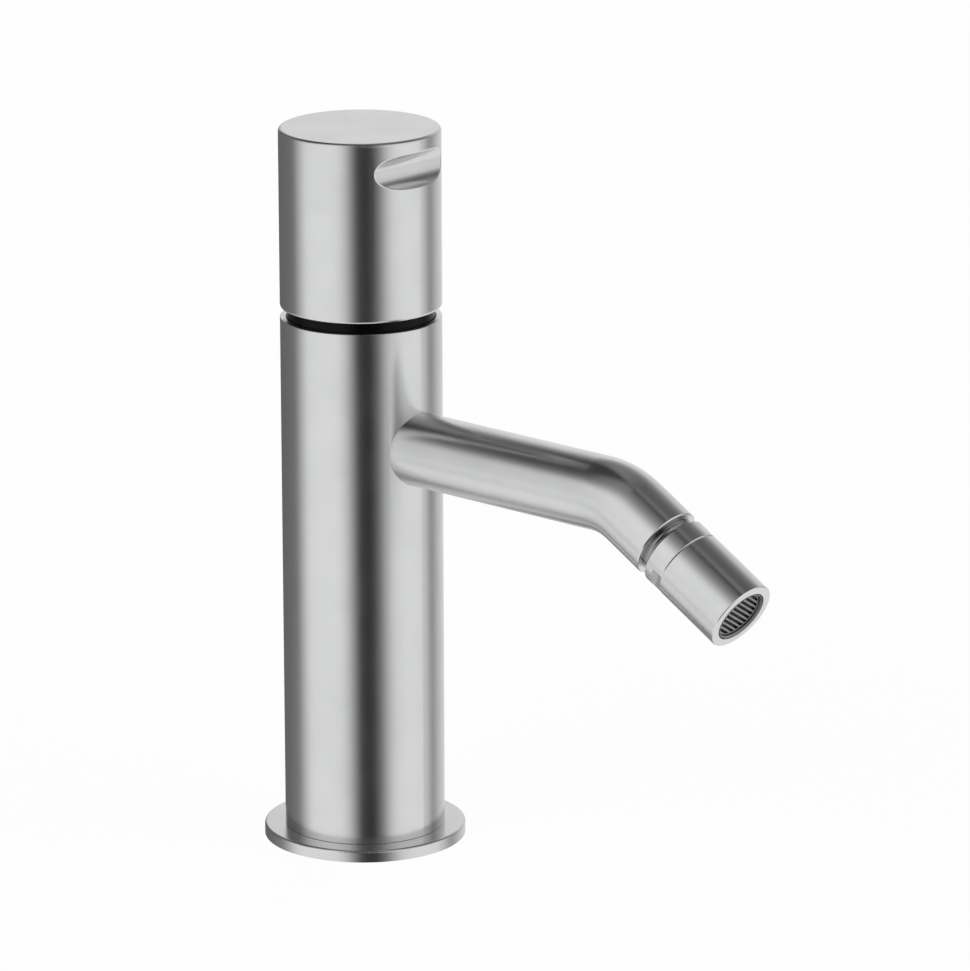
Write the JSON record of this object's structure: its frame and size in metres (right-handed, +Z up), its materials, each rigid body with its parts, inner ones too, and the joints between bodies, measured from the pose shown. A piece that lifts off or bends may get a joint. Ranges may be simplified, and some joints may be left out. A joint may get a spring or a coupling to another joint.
{
  "type": "bidet mixer",
  "caption": "Deck-mounted bidet mixer in brushed steel: round body on a flange, round handle that tilts and turns, bent spout and a swivelling ball-joint nozzle.",
  "frame": {"origin": "centre of the round opening in the flange's underside, on the plane of the deck", "axes": "+Z up along the body's axis, +X the way the spout points, +Y to the left of someone who looks from behind the mixer along the spout"},
  "size_m": [0.1526, 0.0504, 0.1813],
  "materials": {
    "brushed_stainless": "brushed",
    "machined_steel": "machined",
    "brass": "machined",
    "ceramic": "lapped",
    "cartridge_plastic": "moulded",
    "seat_plastic": "turned",
    "aerator_plastic": "moulded",
    "grid_plastic": "satin moulded",
    "cap_plastic": "satin",
    "gloss_black": "gloss",
    "black_rubber": "matte"
  },
  "bodies": {
    "body": {"base_flange": "brushed_stainless", "base_gasket": "black_rubber", "body_sleeve": "brushed_stainless", "waterway_core": "brass", "cartridge_base": "cartridge_plastic", "cartridge_port_seals": "black_rubber", "fixed_ceramic_disc": "ceramic", "cartridge_housing": "cartridge_plastic", "cartridge_nut": "brass", "neck_dome": "gloss_black", "spout_tube": "brushed_stainless", "spout_nipple": "brass", "spout_o_ring": "black_rubber", "ball_stem": "machined_steel", "stem_o_ring": "black_rubber"},
    "spindle": {"cartridge_spindle": "cartridge_plastic", "spindle_o_ring": "black_rubber", "pivot_pin": "machined_steel"},
    "handle": {"lever_stem": "machined_steel", "handle_insert": "brass", "handle_knob": "brushed_stainless", "handle_set_screw": "machined_steel", "set_screw_cap": "cap_plastic"},
    "disc": {"moving_ceramic_disc": "ceramic", "disc_driver": "cartridge_plastic"},
    "seat_ring": {"ball_seat_ring": "seat_plastic"},
    "seat_cup": {"seat_carrier": "seat_plastic"},
    "nozzle": {"retaining_collar": "brushed_stainless", "nozzle_housing": "brushed_stainless", "aerator_gasket": "black_rubber", "aerator_insert": "aerator_plastic", "aerator_grid": "grid_plastic", "aerator_screens": "gloss_black", "flow_diffuser": "aerator_plastic"}
  },
  "joints": [
    {"name": "temperature_turn", "type": "hinge", "parent": "body", "child": "spindle", "pos_m": [0, 0, 0.132], "axis": [0, 0, 1], "range_deg": [-50, 50]},
    {"name": "handle_tilt", "type": "hinge", "parent": "spindle", "child": "handle", "pos_m": [0, 0, 0.132], "axis": [0, -1, 0], "range_deg": [0, 6]},
    {"name": "disc_slide", "type": "slide", "parent": "spindle", "child": "disc", "axis": [1, 0, 0], "range_m": [0, 0.00135]},
    {"name": "nozzle_pitch", "type": "hinge", "parent": "body", "child": "seat_ring", "pos_m": [0.10529, 0, 0.091], "axis": [0, 1, 0], "range_deg": [-8, 8]},
    {"name": "nozzle_yaw", "type": "hinge", "parent": "seat_ring", "child": "seat_cup", "pos_m": [0.10529, 0, 0.091], "axis": [0.5, 0, 0.866], "range_deg": [-8, 8]},
    {"name": "nozzle_spin", "type": "hinge", "parent": "seat_cup", "child": "nozzle", "pos_m": [0.10529, 0, 0.091], "axis": [0.866, 0, -0.5], "continuous": true}
  ],
  "couplings": [
    {"joint": "disc_slide", "follows": "handle_tilt", "m_per_rad": 0.0126}
  ]
}
